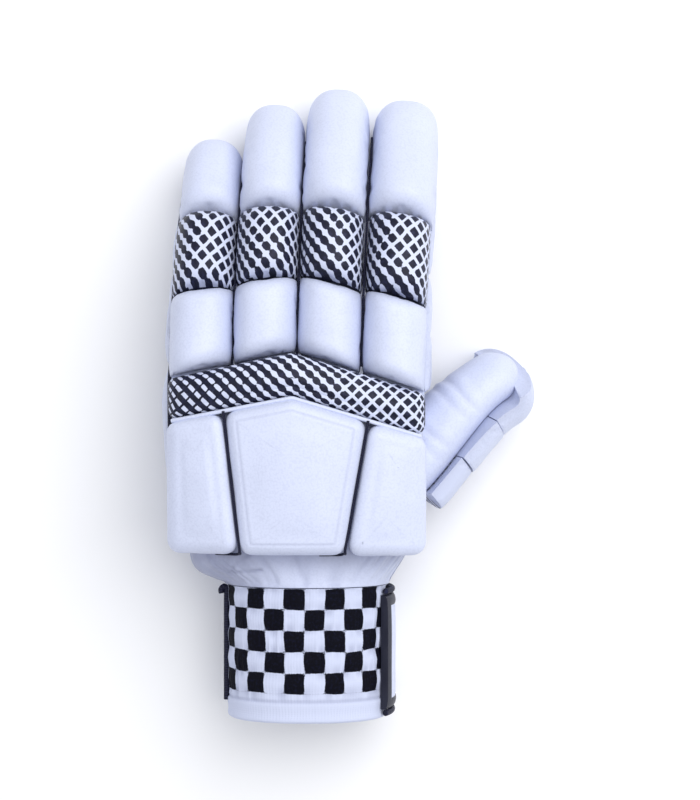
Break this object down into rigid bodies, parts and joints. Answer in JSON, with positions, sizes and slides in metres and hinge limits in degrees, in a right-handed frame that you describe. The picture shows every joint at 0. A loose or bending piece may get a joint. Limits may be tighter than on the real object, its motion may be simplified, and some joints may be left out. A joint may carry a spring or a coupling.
{
  "type": "cricket batting glove",
  "caption": "Padded leather batting glove for the left hand, with sausage finger rolls, split back pads, a broad padded thumb, open finger stalls and a knitted cuff with a strap.",
  "frame": {"origin": "centre of the underside of the glove's box, on the surface that it lies on", "axes": "+Y from the cuff to the fingertips, +X towards the thumb's side, +Z out of the back of the hand"},
  "size_m": [0.1608, 0.2732, 0.0805],
  "materials": {
    "white_leather": "smooth white coated leather, soft sheen",
    "palm_leather": "soft matt off-white leather with fine wrinkles",
    "net_fabric": "white cloth printed with a dark net pattern",
    "cuff_fabric": "elastic cloth printed with a plain checkerboard",
    "navy_piping": "dark woven piping cord, matt"
  },
  "bodies": {
    "root": {"back_leather": "white_leather", "palm_leather": "palm_leather", "stall_little": "palm_leather", "stall_ring": "palm_leather", "stall_middle": "palm_leather", "stall_index": "palm_leather", "stall_thumb": "palm_leather", "roll_base_little": "white_leather", "roll_base_ring": "white_leather", "roll_base_middle": "white_leather", "roll_base_index": "white_leather", "roll_net_little": "net_fabric", "roll_net_ring": "net_fabric", "roll_net_middle": "net_fabric", "roll_net_index": "net_fabric", "roll_tip_little": "white_leather", "roll_tip_ring": "white_leather", "roll_tip_middle": "white_leather", "roll_tip_index": "white_leather", "knuckle_band": "net_fabric", "pad_outer": "white_leather", "pad_centre": "white_leather", "pad_inner": "white_leather", "bar_low_little": "white_leather", "bar_mid_little": "white_leather", "bar_high_little": "white_leather", "bar_low_index": "white_leather", "bar_high_index": "white_leather", "thumb_pad_base": "net_fabric", "thumb_pad_middle": "white_leather", "thumb_pad_tip": "white_leather", "cuff": "cuff_fabric", "strap": "white_leather", "side_piping": "navy_piping", "strap_piping": "navy_piping", "cuff_piping": "navy_piping"}
  },
  "joints": []
}
